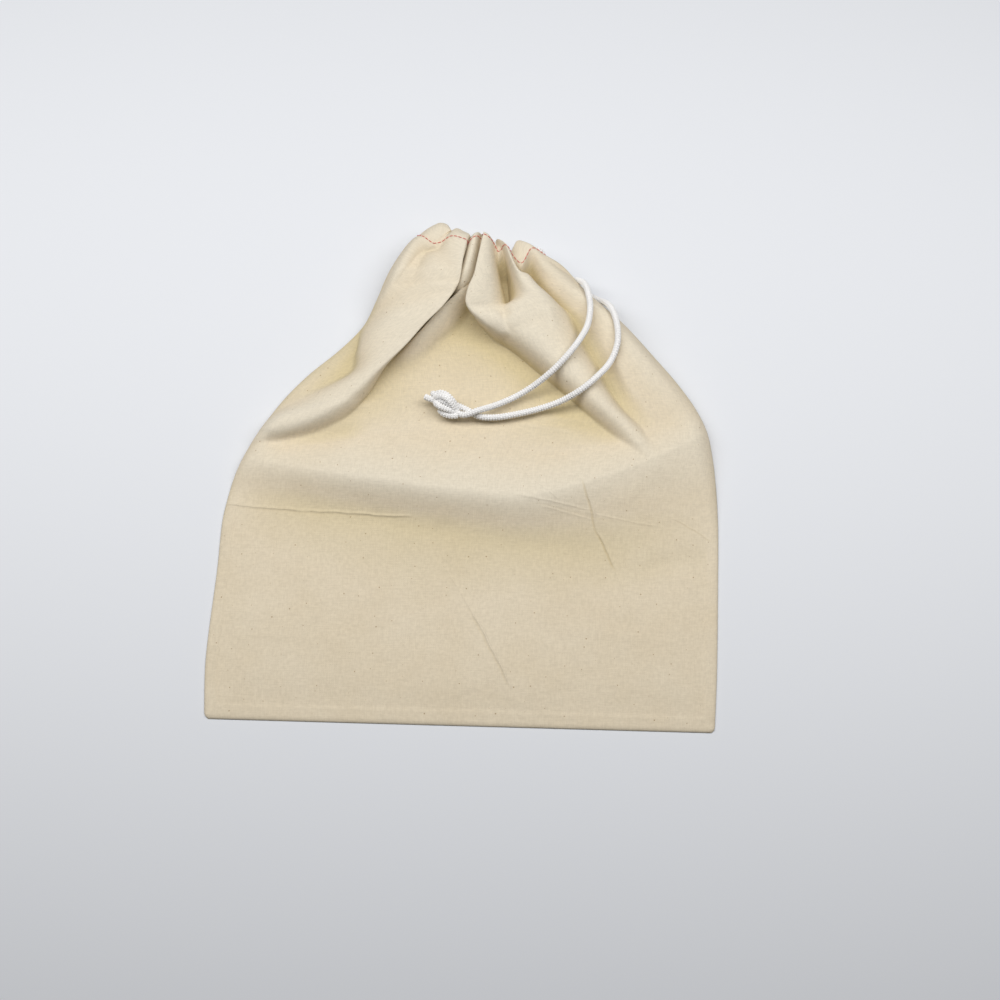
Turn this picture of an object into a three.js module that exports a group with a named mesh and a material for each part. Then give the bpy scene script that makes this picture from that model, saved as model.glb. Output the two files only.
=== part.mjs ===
import * as THREE from "three";
import { mergeVertices } from "three/addons/utils/BufferGeometryUtils.js";

// A cotton drawstring bag lying on a table, mouth gathered and drawn shut, in millimetres.
// X runs across the bag, Y from its bottom seam to its mouth, Z up from the table.

// Sizes of the bag
const bagWidth = 305;
const bagLength = 355;
const takeUp = 37; // length that the roll and the gathers use up
const clothThickness = 1;
const pieceGap = 0.3;
const hemHeight = 12;
const hemLean = 0.75; // share of the hem's height that shows from above, as it tips down
const hemDrawIn = 0.82; // the hem's free edge against its seam, as the cord draws it in
const flatLift = 3.2; // height of the cloth's top where the bag lies flat
const rollHeight = 16; // the soft roll of cloth right across the bag
const gatherHeight = 34; // highest gather at the mouth
const edgeRound = 12; // how far in from a side seam the cloth rounds down to it
const backGather = 5; // how far the gathers of the back stand off the table
const backGathers = 4;
const mouthSlope = 6; // how much lower the right end of the mouth lies than the left end

// Sizes of the drawcord
const cordDiameter = 3.7;
const cordClearance = 0.6;
const mouthPassage = 7; // height of the way in that is left between the two layers of hem
const knotLength = 14;
const knotWidth = 10.5;
const tailLength = 8.5;

// Sizes that follow from those
const halfWidth = bagWidth / 2;
const lyingLength = bagLength - takeUp;
const stitchPlace = lyingLength - hemHeight; // how far up the seam that closes the hem lies
const freeEdge = stitchPlace + hemHeight * hemLean;
const cordRadius = cordDiameter / 2;
const channel = cordDiameter + 2 * cordClearance;
const hemReach = mouthPassage / 2 + 2 * clothThickness + channel; // passage middle to hem outside
const mouthMiddle = backGather + hemReach + pieceGap;
const seamRest = clothThickness + pieceGap / 2;

// Mesh steps
const frontColumns = { leftSide: 12, middle: 9, rightSleeve: 10, rightSide: 7 };
const flatRows = 4;
const foldRows = 27;
const cornerRows = 3;
const backColumns = 16;
const hemSteps = 28;
const cordSides = 8;

// The outline. at: share of the lying length; left, right: shares of half the width;
// seam: how far the side seams have risen to the middle of the mouth; round: share of edgeRound.
const outline = [
  { at: 0, left: 0.965, right: 0.965, seam: 0, round: 0.25 },
  { at: 0.006, left: 0.99, right: 0.985, seam: 0, round: 0.25 },
  { at: 0.02, left: 1.003, right: 0.993, seam: 0, round: 0.25 },
  { at: 0.12, left: 1.01, right: 1, seam: 0, round: 0.25 },
  { at: 0.3, left: 0.988, right: 1.003, seam: 0, round: 0.3 },
  { at: 0.39, left: 0.981, right: 1.003, seam: 0, round: 0.45 },
  { at: 0.44, left: 0.965, right: 1, seam: 0, round: 0.6 },
  { at: 0.49, left: 0.94, right: 0.993, seam: 0, round: 0.8 },
  { at: 0.54, left: 0.898, right: 0.982, seam: 0, round: 1 },
  { at: 0.6, left: 0.828, right: 0.957, seam: 0.01, round: 1 },
  { at: 0.65, left: 0.757, right: 0.908, seam: 0.03, round: 1 },
  { at: 0.7, left: 0.665, right: 0.835, seam: 0.07, round: 1 },
  { at: 0.75, left: 0.55, right: 0.745, seam: 0.16, round: 1 },
  { at: 0.8, left: 0.455, right: 0.648, seam: 0.3, round: 1 },
  { at: 0.85, left: 0.405, right: 0.538, seam: 0.5, round: 1 },
  { at: 0.9, left: 0.365, right: 0.438, seam: 0.74, round: 1 },
  { at: 0.94, left: 0.322, right: 0.345, seam: 0.94, round: 1 },
  { at: 0.963, left: 0.28, right: 0.258, seam: 1, round: 1 },
];

// The soft roll across the bag. at: share of half the width; crest, foot: shares of the lying
// length; height: share of rollHeight.
const roll = [
  { at: -1.02, crest: 0.525, foot: 0.442, height: 0.5 },
  { at: -0.67, crest: 0.494, foot: 0.418, height: 0.8 },
  { at: -0.35, crest: 0.472, foot: 0.396, height: 0.95 },
  { at: 0, crest: 0.453, foot: 0.366, height: 1 },
  { at: 0.25, crest: 0.447, foot: 0.349, height: 1 },
  { at: 0.5, crest: 0.484, foot: 0.332, height: 1 },
  { at: 0.75, crest: 0.53, foot: 0.312, height: 0.95 },
  { at: 1.02, crest: 0.6, foot: 0.345, height: 0.6 },
];

// The panel between the gathers, above the roll. at: share of the way from the roll's crest to
// the mouth; height: share of rollHeight.
const valley = [
  { at: 0, height: 1 },
  { at: 0.14, height: 0.9 },
  { at: 0.32, height: 0.68 },
  { at: 0.55, height: 0.52 },
  { at: 0.8, height: 0.5 },
  { at: 1, height: 0.9 },
];

// The gathers. at: share of the lying length; left, crest, right: shares of half the width;
// height: share of gatherHeight. A larger softness spreads a side wider at its foot.
const gathers = [
  {
    name: "left sleeve",
    leftSoftness: 1.1,
    rightSoftness: 0.55,
    rows: [
      { at: 0.553, left: -0.885, crest: -0.8, right: -0.72, height: 0.22 },
      { at: 0.572, left: -0.826, crest: -0.708, right: -0.623, height: 0.31 },
      { at: 0.604, left: -0.715, crest: -0.61, right: -0.525, height: 0.4 },
      { at: 0.645, left: -0.61, crest: -0.515, right: -0.446, height: 0.49 },
      { at: 0.692, left: -0.53, crest: -0.438, right: -0.374, height: 0.58 },
      { at: 0.739, left: -0.482, crest: -0.378, right: -0.295, height: 0.66 },
      { at: 0.786, left: -0.456, crest: -0.32, right: -0.216, height: 0.72 },
      { at: 0.824, left: -0.433, crest: -0.27, right: -0.144, height: 0.77 },
      { at: 0.868, left: -0.38, crest: -0.216, right: -0.082, height: 0.82 },
      { at: 0.918, left: -0.256, crest: -0.16, right: -0.062, height: 0.88 },
      { at: 0.963, left: -0.164, crest: -0.105, right: -0.039, height: 0.94 },
    ],
  },
  {
    name: "left outer pleat",
    leftSoftness: 0.9,
    rightSoftness: 0.8,
    rows: [
      { at: 0.8, left: -0.47, crest: -0.41, right: -0.34, height: 0.3 },
      { at: 0.824, left: -0.45, crest: -0.393, right: -0.315, height: 0.41 },
      { at: 0.868, left: -0.42, crest: -0.354, right: -0.262, height: 0.6 },
      { at: 0.918, left: -0.375, crest: -0.308, right: -0.243, height: 0.72 },
      { at: 0.963, left: -0.3, crest: -0.23, right: -0.164, height: 0.8 },
    ],
  },
  {
    name: "middle pleat",
    leftSoftness: 0.6,
    rightSoftness: 0.6,
    rows: [
      { at: 0.85, left: -0.08, crest: -0.062, right: -0.04, height: 0.2 },
      { at: 0.868, left: -0.082, crest: -0.062, right: -0.039, height: 0.5 },
      { at: 0.89, left: -0.079, crest: -0.052, right: -0.02, height: 0.7 },
      { at: 0.918, left: -0.062, crest: -0.026, right: 0.01, height: 0.82 },
      { at: 0.963, left: -0.039, crest: -0.007, right: 0.026, height: 0.92 },
    ],
  },
  {
    name: "front pleat",
    leftSoftness: 0.55,
    rightSoftness: 0.6,
    rows: [
      { at: 0.77, left: 0.098, crest: 0.157, right: 0.22, height: 0.55 },
      { at: 0.79, left: 0.052, crest: 0.118, right: 0.21, height: 0.78 },
      { at: 0.82, left: -0.013, crest: 0.066, right: 0.17, height: 0.9 },
      { at: 0.85, left: -0.03, crest: 0.052, right: 0.131, height: 0.94 },
      { at: 0.885, left: -0.026, crest: 0.046, right: 0.118, height: 0.97 },
      { at: 0.918, left: 0.007, crest: 0.055, right: 0.111, height: 0.99 },
      { at: 0.963, left: 0.01, crest: 0.038, right: 0.08, height: 1 },
    ],
  },
  {
    name: "right sleeve",
    leftSoftness: 0.5,
    rightSoftness: 0.8,
    rows: [
      { at: 0.53, left: 0.68, crest: 0.7, right: 0.73, height: 0.3 },
      { at: 0.55, left: 0.62, crest: 0.662, right: 0.715, height: 0.38 },
      { at: 0.59, left: 0.53, crest: 0.597, right: 0.675, height: 0.485 },
      { at: 0.63, left: 0.45, crest: 0.538, right: 0.63, height: 0.57 },
      { at: 0.67, left: 0.37, crest: 0.472, right: 0.577, height: 0.66 },
      { at: 0.71, left: 0.269, crest: 0.407, right: 0.531, height: 0.735 },
      { at: 0.75, left: 0.157, crest: 0.341, right: 0.485, height: 0.79 },
      { at: 0.79, left: 0.052, crest: 0.275, right: 0.439, height: 0.85 },
      { at: 0.82, left: 0.03, crest: 0.236, right: 0.407, height: 0.9 },
      { at: 0.85, left: 0.105, crest: 0.236, right: 0.367, height: 0.91 },
      { at: 0.885, left: 0.118, crest: 0.203, right: 0.302, height: 0.91 },
      { at: 0.918, left: 0.111, crest: 0.17, right: 0.236, height: 0.92 },
      { at: 0.963, left: 0.08, crest: 0.125, right: 0.19, height: 0.94 },
    ],
  },
  {
    name: "right outer pleat",
    leftSoftness: 0.9,
    rightSoftness: 1,
    rows: [
      { at: 0.53, left: 0.6, crest: 0.89, right: 1.02, height: 0.34 },
      { at: 0.56, left: 0.58, crest: 0.87, right: 1.02, height: 0.38 },
      { at: 0.63, left: 0.5, crest: 0.8, right: 0.98, height: 0.44 },
      { at: 0.7, left: 0.41, crest: 0.7, right: 0.88, height: 0.49 },
      { at: 0.76, left: 0.36, crest: 0.615, right: 0.77, height: 0.53 },
      { at: 0.82, left: 0.28, crest: 0.52, right: 0.68, height: 0.57 },
      { at: 0.87, left: 0.22, crest: 0.4, right: 0.575, height: 0.63 },
      { at: 0.918, left: 0.19, crest: 0.3, right: 0.47, height: 0.7 },
      { at: 0.963, left: 0.17, crest: 0.22, right: 0.32, height: 0.78 },
    ],
  },
  {
    name: "lip under the left sleeve",
    leftSoftness: 0.8,
    rightSoftness: 1.6,
    rows: [
      { at: 0.72, left: -0.32, crest: -0.29, right: -0.1, height: 0.24 },
      { at: 0.755, left: -0.27, crest: -0.249, right: -0.08, height: 0.28 },
      { at: 0.786, left: -0.21, crest: -0.184, right: -0.03, height: 0.34 },
      { at: 0.833, left: -0.125, crest: -0.098, right: 0.03, height: 0.4 },
      { at: 0.88, left: -0.05, crest: -0.023, right: 0.06, height: 0.46 },
      { at: 0.91, left: -0.04, crest: -0.01, right: 0.05, height: 0.5 },
    ],
  },
];
const creaseBlend = 2.5; // how wide two gathers run into each other

// The creases beside the two sleeves, which the steps of the front's mesh follow. at: share of the
// lying length; leftCrease, rightCrease, rightBack: shares of half the width.
const creases = [
  { at: 0, leftCrease: -0.6, rightCrease: 0.45, rightBack: 0.72 },
  { at: 0.4, leftCrease: -0.64, rightCrease: 0.52, rightBack: 0.73 },
  { at: 0.553, leftCrease: -0.66, rightCrease: 0.6, rightBack: 0.72 },
  { at: 0.604, leftCrease: -0.535, rightCrease: 0.5, rightBack: 0.66 },
  { at: 0.645, leftCrease: -0.45, rightCrease: 0.42, rightBack: 0.605 },
  { at: 0.692, leftCrease: -0.374, rightCrease: 0.32, rightBack: 0.55 },
  { at: 0.739, leftCrease: -0.295, rightCrease: 0.195, rightBack: 0.5 },
  { at: 0.786, leftCrease: -0.216, rightCrease: 0.065, rightBack: 0.445 },
  { at: 0.824, leftCrease: -0.144, rightCrease: -0.01, rightBack: 0.4 },
  { at: 0.868, leftCrease: -0.082, rightCrease: -0.03, rightBack: 0.33 },
  { at: 0.918, leftCrease: -0.062, rightCrease: 0.007, rightBack: 0.236 },
  { at: 0.963, leftCrease: -0.039, rightCrease: 0.01, rightBack: 0.19 },
];

// The routes of the free cords, as they lie: hand-chosen points from the hem to the knot.
const cordRoutes = {
  upper: [
    [36.6, 304.4, 18],
    [39.6, 303.9, 16.8],
    [42.2, 301.8, 12.4],
    [45.2, 299, 8.2],
    [49, 296.2, 6.2],
    [53.8, 293, 6.2],
    [59.4, 289.6, 7.2],
    [64.6, 286.8, 11.5],
    [68.2, 281.7, 18],
    [70.6, 273, 22],
    [71.8, 263, 22.6],
    [70.4, 252, 23.2],
    [66, 241, 27],
    [59, 230, 28.5],
    [49, 220, 24],
    [38, 213, 16.5],
    [26, 206, 13.6],
    [14, 199.5, 15.4],
    [4, 194.6, 18.8],
    [-4, 192.6, 16.4],
    [-11, 195.2, 15],
  ],
  lower: [
    [36.6, 304.4, 12.2],
    [39.6, 304.1, 10.6],
    [43.2, 302.4, 5.8],
    [47.6, 299.2, 2.9],
    [54, 294.6, 2.1],
    [62.6, 288, 2.1],
    [70.6, 281.4, 2.5],
    [77.6, 276.4, 5.6],
    [82.2, 271.4, 12.3],
    [85.6, 264.5, 18.6],
    [88.5, 254, 21.2],
    [89, 241, 21],
    [85, 229, 20.6],
    [77, 217, 25.2],
    [67, 208.5, 23.2],
    [55, 203.5, 16],
    [42, 199, 13.8],
    [28, 195, 13.8],
    [15, 192.4, 14],
    [5, 192.8, 14.2],
    [-3, 197, 14.4],
    [-11, 200.2, 15],
  ],
};
const knotPlace = [-18.5, 198.9, 16.2];
const tailRoutes = {
  upper: { from: [-24.9, 202.4, 15.6], to: [-30.4, 204.4, 13.8] },
  lower: { from: [-22.4, 205.7, 16.3], to: [-26.4, 209.4, 14.6] },
};

const clothColour = 0xd8cbaf;
const cordColour = 0xe9e8e6;

// A column of a table at any place between its rows, eased through them.
function readTable(rows, column, at) {
  const last = rows.length - 1;
  if (at <= rows[0].at) return rows[0][column];
  if (at >= rows[last].at) return rows[last][column];
  const next = rows.findIndex((row) => row.at > at);
  const slopeAt = (i) => {
    const before = rows[Math.max(i - 1, 0)];
    const after = rows[Math.min(i + 1, last)];
    return (after[column] - before[column]) / (after.at - before.at);
  };
  const low = rows[next - 1];
  const high = rows[next];
  const span = high.at - low.at;
  const t = (at - low.at) / span;
  const ease = t * t * (3 - 2 * t);
  const bend = span * t * (1 - t) * ((1 - t) * slopeAt(next - 1) - t * slopeAt(next));
  return low[column] + (high[column] - low[column]) * ease + bend;
}

function easeStep(t) {
  const c = Math.min(Math.max(t, 0), 1);
  return c * c * (3 - 2 * c);
}

// The larger of two heights, with a fillet where they meet.
function blendUp(a, b, width) {
  const near = Math.max(width - Math.abs(a - b), 0) / width;
  return Math.max(a, b) + (near * near * width) / 4;
}

function edgesAt(y) {
  const at = y / lyingLength;
  return {
    left: -halfWidth * readTable(outline, "left", at),
    right: halfWidth * readTable(outline, "right", at),
    seam: seamRest + (mouthMiddle - seamRest) * readTable(outline, "seam", at),
    round: edgeRound * readTable(outline, "round", at),
  };
}

// The cloth between the gathers: flat, then up over the roll and down towards the mouth.
function panelHeight(x, y) {
  const across = x / halfWidth;
  const crest = lyingLength * readTable(roll, "crest", across);
  const foot = lyingLength * readTable(roll, "foot", across);
  const top = rollHeight * readTable(roll, "height", across);
  if (y < crest) return flatLift + (top - flatLift) * easeStep((y - foot) / (crest - foot));
  return top * readTable(valley, "height", (y - crest) / (stitchPlace - crest));
}

// One gather's height at a place, below the table where the gather isn't.
function gatherHeightAt(gather, x, y) {
  const at = y / lyingLength;
  if (at < gather.rows[0].at) return -gatherHeight;
  const read = (column) => readTable(gather.rows, column, at);
  const crest = halfWidth * read("crest");
  const leftSide = x < crest;
  const foot = halfWidth * read(leftSide ? "left" : "right");
  const t = (x - crest) / (foot - crest);
  if (t >= 1) return -gatherHeight;
  const softness = leftSide ? gather.leftSoftness : gather.rightSoftness;
  return gatherHeight * read("height") * Math.pow(1 - t * t, softness);
}

// How far the cloth has rounded up from its edge: 0 at the edge, 1 past the rounding.
function roundedUp(distance, radius) {
  const t = 1 - Math.min(Math.max(distance / radius, 0), 1);
  return Math.sqrt(1 - t * t);
}

function frontTop(x, y) {
  const edge = edgesAt(y);
  let height = panelHeight(x, y);
  for (const gather of gathers) {
    height = blendUp(height, gatherHeightAt(gather, x, y), creaseBlend);
  }
  const mouthFloor = mouthMiddle + hemReach;
  const towardsMouth = easeStep((y - 0.9 * stitchPlace) / (0.1 * stitchPlace));
  height = blendUp(height, mouthFloor * towardsMouth, creaseBlend);
  const side = roundedUp(Math.min(x - edge.left, edge.right - x), edge.round);
  const bottom = roundedUp(y, edge.round);
  const seam = edge.seam + pieceGap / 2;
  return seam + (height - seam) * side * bottom;
}

// How far a row of the back has come from lying flat to its gathers at the mouth.
function mouthRise(y) {
  return easeStep((y / stitchPlace - 0.72) / 0.28);
}

// The underside of the back: on the table, and gathered off it towards the mouth.
function backUnder(x, y) {
  const edge = edgesAt(y);
  const across = (x - edge.left) / (edge.right - edge.left);
  const rise = mouthRise(y);
  const gathered = backGather * rise * (0.5 - 0.5 * Math.cos(2 * Math.PI * backGathers * across));
  const side = roundedUp(Math.min(x - edge.left, edge.right - x), edge.round);
  const seam = edge.seam - pieceGap / 2 - clothThickness * (1 - easeStep(rise));
  return seam + (gathered - seam) * side;
}

// How far a place near the mouth has slipped towards the bottom seam.
function slipAt(x, y) {
  const middle = 0.28 * halfWidth;
  return (mouthSlope * easeStep((y / stitchPlace - 0.85) / 0.15) * (x + middle)) / (2 * middle);
}

// A place on a row of the bag, u running from -1 at the left seam to 1 at the right one,
// with more steps near the seams.
function placeAcross(u, y) {
  const edge = edgesAt(y);
  const spread = u * (1.15 - 0.15 * u * u);
  return edge.left + ((edge.right - edge.left) * (spread + 1)) / 2;
}

// A place on a row of the front, where the steps follow the creases beside the sleeves.
function placeOnFront(u, y) {
  const { leftSide, middle, rightSleeve, rightSide } = frontColumns;
  const edge = edgesAt(y);
  const at = y / lyingLength;
  const leftCrease = halfWidth * readTable(creases, "leftCrease", at);
  const rightCrease = halfWidth * readTable(creases, "rightCrease", at);
  const rightBack = halfWidth * readTable(creases, "rightBack", at);
  let step = ((u + 1) / 2) * (leftSide + middle + rightSleeve + rightSide);
  const fromSeam = (t) => t * (0.65 + 0.35 * t);
  if (step < leftSide) return edge.left + (leftCrease - edge.left) * fromSeam(step / leftSide);
  step -= leftSide;
  if (step < middle) return leftCrease + ((rightCrease - leftCrease) * step) / middle;
  step -= middle;
  if (step < rightSleeve) return rightCrease + ((rightBack - rightCrease) * step) / rightSleeve;
  step -= rightSleeve;
  return edge.right - (edge.right - rightBack) * fromSeam(1 - step / rightSide);
}

// A closed mesh from points and faces, with flat ends where faces meet.
function meshOf(name, positions, faces, material) {
  const geometry = new THREE.BufferGeometry();
  geometry.setAttribute("position", new THREE.Float32BufferAttribute(positions.flat(), 3));
  geometry.setIndex(faces.flat());
  geometry.computeVertexNormals();
  const mesh = new THREE.Mesh(geometry, material);
  mesh.name = name;
  return mesh;
}

// A wall of cloth: a grid of outer points, a grid of inner points and a rim round both.
// The outer grid is seen from above when facesUp is true.
function clothWall(name, columnCount, placeAt, outerPoint, innerPoint, facesUp, material) {
  const rowPlaces = rowsOfCloth();
  const positions = [];
  for (const pointAt of [outerPoint, innerPoint]) {
    for (const y of rowPlaces) {
      for (let i = 0; i <= columnCount; i++) {
        const u = (2 * i) / columnCount - 1;
        const [x, along, z] = pointAt(placeAt(u, y), y);
        positions.push([x, along - slipAt(x, y), z]);
      }
    }
  }
  const rowCount = rowPlaces.length - 1;
  const layer = (rowCount + 1) * (columnCount + 1);
  const index = (side, j, i) => side * layer + j * (columnCount + 1) + i;
  const faces = [];
  const quad = (a, b, c, d) => {
    if (facesUp) faces.push([a, b, c], [a, c, d]);
    else faces.push([a, c, b], [a, d, c]);
  };
  for (let j = 0; j < rowCount; j++) {
    for (let i = 0; i < columnCount; i++) {
      quad(index(0, j, i), index(0, j, i + 1), index(0, j + 1, i + 1), index(0, j + 1, i));
      quad(index(1, j, i), index(1, j + 1, i), index(1, j + 1, i + 1), index(1, j, i + 1));
    }
  }
  for (let i = 0; i < columnCount; i++) {
    quad(index(1, 0, i), index(1, 0, i + 1), index(0, 0, i + 1), index(0, 0, i));
    quad(index(0, rowCount, i), index(0, rowCount, i + 1), index(1, rowCount, i + 1),
      index(1, rowCount, i));
  }
  for (let j = 0; j < rowCount; j++) {
    quad(index(0, j, 0), index(0, j + 1, 0), index(1, j + 1, 0), index(1, j, 0));
    quad(index(1, j, columnCount), index(1, j + 1, columnCount), index(0, j + 1, columnCount),
      index(0, j, columnCount));
  }
  return meshOf(name, positions, faces, material);
}

// The slope of a height function, as a unit normal pointing up.
function normalOf(heightAt, x, y) {
  const edge = edgesAt(y);
  const step = 0.5;
  const lowX = Math.max(x - step, edge.left);
  const highX = Math.min(x + step, edge.right);
  const lowY = Math.max(y - step, 0);
  const highY = Math.min(y + step, stitchPlace);
  const alongX = (heightAt(highX, y) - heightAt(lowX, y)) / (highX - lowX);
  const clampX = (at) => Math.min(Math.max(x, edgesAt(at).left), edgesAt(at).right);
  const alongY = (heightAt(clampX(highY), highY) - heightAt(clampX(lowY), lowY)) / (highY - lowY);
  return new THREE.Vector3(-alongX, -alongY, 1).normalize();
}

// Rows from the bottom seam to the hem: close in the corner, wide on the flat, close in the folds.
function rowsOfCloth() {
  const rows = [];
  const cornerReach = edgeRound / 2;
  const flatEnd = 0.33 * lyingLength;
  for (let i = 0; i < cornerRows; i++) rows.push((cornerReach * i * i) / (cornerRows * cornerRows));
  for (let i = 0; i < flatRows; i++) rows.push(cornerReach + ((flatEnd - cornerReach) * i) / flatRows);
  for (let i = 0; i <= foldRows; i++) rows.push(flatEnd + ((stitchPlace - flatEnd) * i) / foldRows);
  return rows;
}

function frontPanel(material) {
  const outer = (x, y) => [x, y, frontTop(x, y)];
  const inner = (x, y) => {
    const n = normalOf(frontTop, x, y);
    const edge = edgesAt(y);
    const onRim = y <= 0 || x <= edge.left || x >= edge.right;
    if (onRim) n.setZ(0).normalize();
    return [
      x - n.x * clothThickness,
      y - (y >= stitchPlace ? 0 : n.y * clothThickness),
      frontTop(x, y) - n.z * clothThickness,
    ];
  };
  const columns = Object.values(frontColumns).reduce((sum, count) => sum + count);
  return clothWall("front_panel", columns, placeOnFront, outer, inner, true, material);
}

function backPanel(material) {
  const outer = (x, y) => [x, y, backUnder(x, y)];
  const inner = (x, y) => {
    const edge = edgesAt(y);
    const turnedUp = clothThickness * easeStep(mouthRise(y));
    if (x <= edge.left) return [x + turnedUp, y, edge.seam - pieceGap / 2];
    if (x >= edge.right) return [x - turnedUp, y, edge.seam - pieceGap / 2];
    const n = normalOf(backUnder, x, y);
    return [
      x + n.x * clothThickness,
      y + (y >= stitchPlace ? 0 : n.y * clothThickness),
      backUnder(x, y) + n.z * clothThickness,
    ];
  };
  return clothWall("back_panel", backColumns, placeAcross, outer, inner, false, material);
}

// The straight middle of the mouth, a share of the way from the seam of the hem to its free edge.
function mouthAt(share) {
  const edge = edgesAt(stitchPlace);
  const middle = (edge.left + edge.right) / 2;
  const drawn = 1 - (1 - hemDrawIn) * share;
  return {
    left: middle + (edge.left + hemReach - middle) * drawn,
    right: middle + (edge.right - hemReach - middle) * drawn,
    y: stitchPlace + pieceGap + (freeEdge - stitchPlace - pieceGap) * share,
  };
}

// The hem: a channel of cloth round the mouth, open at the right seam, where the cord comes out.
function hemCasing(material) {
  const slot = 0.87; // share of the half row at which the channel stops, on each side of the seam
  const passage = mouthPassage / 2;
  const wall = clothThickness;
  const seamMouth = mouthAt(0);
  const stations = [];
  const addStation = (x, z) => {
    const axisX = Math.min(Math.max(x, seamMouth.left), seamMouth.right);
    const along = (axisX - seamMouth.left) / (seamMouth.right - seamMouth.left);
    const out = new THREE.Vector2(x - axisX, z - mouthMiddle);
    const reach = Math.max(out.length(), hemReach);
    stations.push({ along, out: out.normalize(), reach });
  };
  for (let i = 0; i <= hemSteps; i++) {
    const x = placeAcross(slot - (i * (slot + 1)) / hemSteps, stitchPlace);
    addStation(x, frontTop(x, stitchPlace));
  }
  for (let i = 1; i <= hemSteps; i++) {
    const x = placeAcross(-1 + (i * (slot + 1)) / hemSteps, stitchPlace);
    addStation(x, backUnder(x, stitchPlace));
  }
  // Each station has a ring of outer points and a ring of points round the hollow,
  // each given by its reach from the mouth's middle and its share of the hem's height.
  const ringsAt = (s) => {
    const top = Math.max(s.reach * hemDrawIn, hemReach);
    const high = 1 - (2 * wall) / hemHeight;
    const low = wall / hemHeight;
    const outer = [
      [s.reach, 0],
      [(s.reach + top) / 2, 0.5],
      [top, high],
      [(top + passage) / 2, 1],
      [passage, high],
      [passage, 0.5],
      [passage, 0],
      [(s.reach + passage) / 2, 0],
    ];
    const hollow = [
      [s.reach - wall, low],
      [(s.reach + top) / 2 - wall, 0.5],
      [top - wall, high - low / 2],
      [(top + passage) / 2, 1 - low],
      [passage + wall, high - low / 2],
      [passage + wall, 0.5],
      [passage + wall, low],
      [(s.reach + passage) / 2, low],
    ];
    const place = ([reach, share]) => {
      const mouth = mouthAt(share);
      const axisX = mouth.left + (mouth.right - mouth.left) * s.along;
      const x = axisX + s.out.x * reach;
      return [x, mouth.y - slipAt(x, mouth.y), mouthMiddle + s.out.y * reach];
    };
    return [outer.map(place), hollow.map(place)];
  };
  const positions = stations.flatMap((station) => ringsAt(station).flat());
  const sides = 8;
  const index = (station, ring, i) => (station * 2 + ring) * sides + (i % sides);
  const faces = [];
  const quad = (a, b, c, d) => faces.push([a, b, c], [a, c, d]);
  for (let k = 0; k < stations.length - 1; k++) {
    for (let i = 0; i < sides; i++) {
      quad(index(k, 0, i), index(k, 0, i + 1), index(k + 1, 0, i + 1), index(k + 1, 0, i));
      quad(index(k, 1, i), index(k + 1, 1, i), index(k + 1, 1, i + 1), index(k, 1, i + 1));
    }
  }
  const last = stations.length - 1;
  for (let i = 0; i < sides; i++) {
    quad(index(0, 0, i), index(0, 1, i), index(0, 1, i + 1), index(0, 0, i + 1));
    quad(index(last, 0, i), index(last, 0, i + 1), index(last, 1, i + 1), index(last, 1, i));
  }
  return meshOf("hem_casing", positions, faces, material);
}

// A round cord along smooth points.
function cordAlong(name, points, steps, material) {
  const places = points.map((p) => new THREE.Vector3(...p));
  const curve = new THREE.CatmullRomCurve3(places, false, "centripetal");
  const section = new THREE.Shape();
  for (let i = 0; i < cordSides; i++) {
    const angle = (2 * Math.PI * i) / cordSides;
    const corner = [cordRadius * Math.cos(angle), cordRadius * Math.sin(angle)];
    if (i === 0) section.moveTo(...corner);
    else section.lineTo(...corner);
  }
  section.closePath();
  const geometry = new THREE.ExtrudeGeometry(section, { steps, extrudePath: curve, bevelEnabled: false });
  const mesh = new THREE.Mesh(geometry, material);
  mesh.name = name;
  return mesh;
}

// The stretch of cord inside the hem, from one end of the slot round the mouth to the other.
function cordInHem(material) {
  const loop = mouthPassage / 2 + clothThickness + channel / 2;
  const mouth = mouthAt(0.42);
  const straight = mouth.right - mouth.left;
  const inMouth = (x, z) => [x, mouth.y - slipAt(x, mouth.y), z];
  const onLoop = (middle, degrees) => {
    const a = THREE.MathUtils.degToRad(degrees);
    return inMouth(middle + loop * Math.cos(a), mouthMiddle + loop * Math.sin(a));
  };
  const exitOf = ([x, y, z]) => [x - pieceGap, y, z];
  const beforeExit = ([p, q]) => p.map((value, i) => value - (q[i] - value) / 2);
  const points = [exitOf(cordRoutes.upper[0]), beforeExit(cordRoutes.upper)];
  points.push(onLoop(mouth.right, 62), onLoop(mouth.right, 90));
  for (const share of [0.75, 0.5, 0.25]) {
    points.push(inMouth(mouth.left + straight * share, mouthMiddle + loop));
  }
  for (const degrees of [90, 120, 150, 180, 210, 240, 270]) points.push(onLoop(mouth.left, degrees));
  for (const share of [0.25, 0.5, 0.75]) {
    points.push(inMouth(mouth.left + straight * share, mouthMiddle - loop));
  }
  points.push(onLoop(mouth.right, 270), onLoop(mouth.right, 298));
  points.push(beforeExit(cordRoutes.lower), exitOf(cordRoutes.lower[0]));
  return cordAlong("drawcord_in_hem", points, 44, material);
}

// The overhand knot that joins both strands: one closed lump, longer than wide.
function cordKnot(material) {
  const geometry = new THREE.SphereGeometry(1, 14, 10);
  geometry.scale(knotLength / 2, knotWidth / 2, knotWidth / 2);
  geometry.rotateZ(THREE.MathUtils.degToRad(-25));
  geometry.deleteAttribute("normal");
  geometry.deleteAttribute("uv");
  const mesh = new THREE.Mesh(mergeVertices(geometry, 1e-3), material);
  mesh.position.set(...knotPlace);
  mesh.name = "cord_knot";
  return mesh;
}

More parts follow.
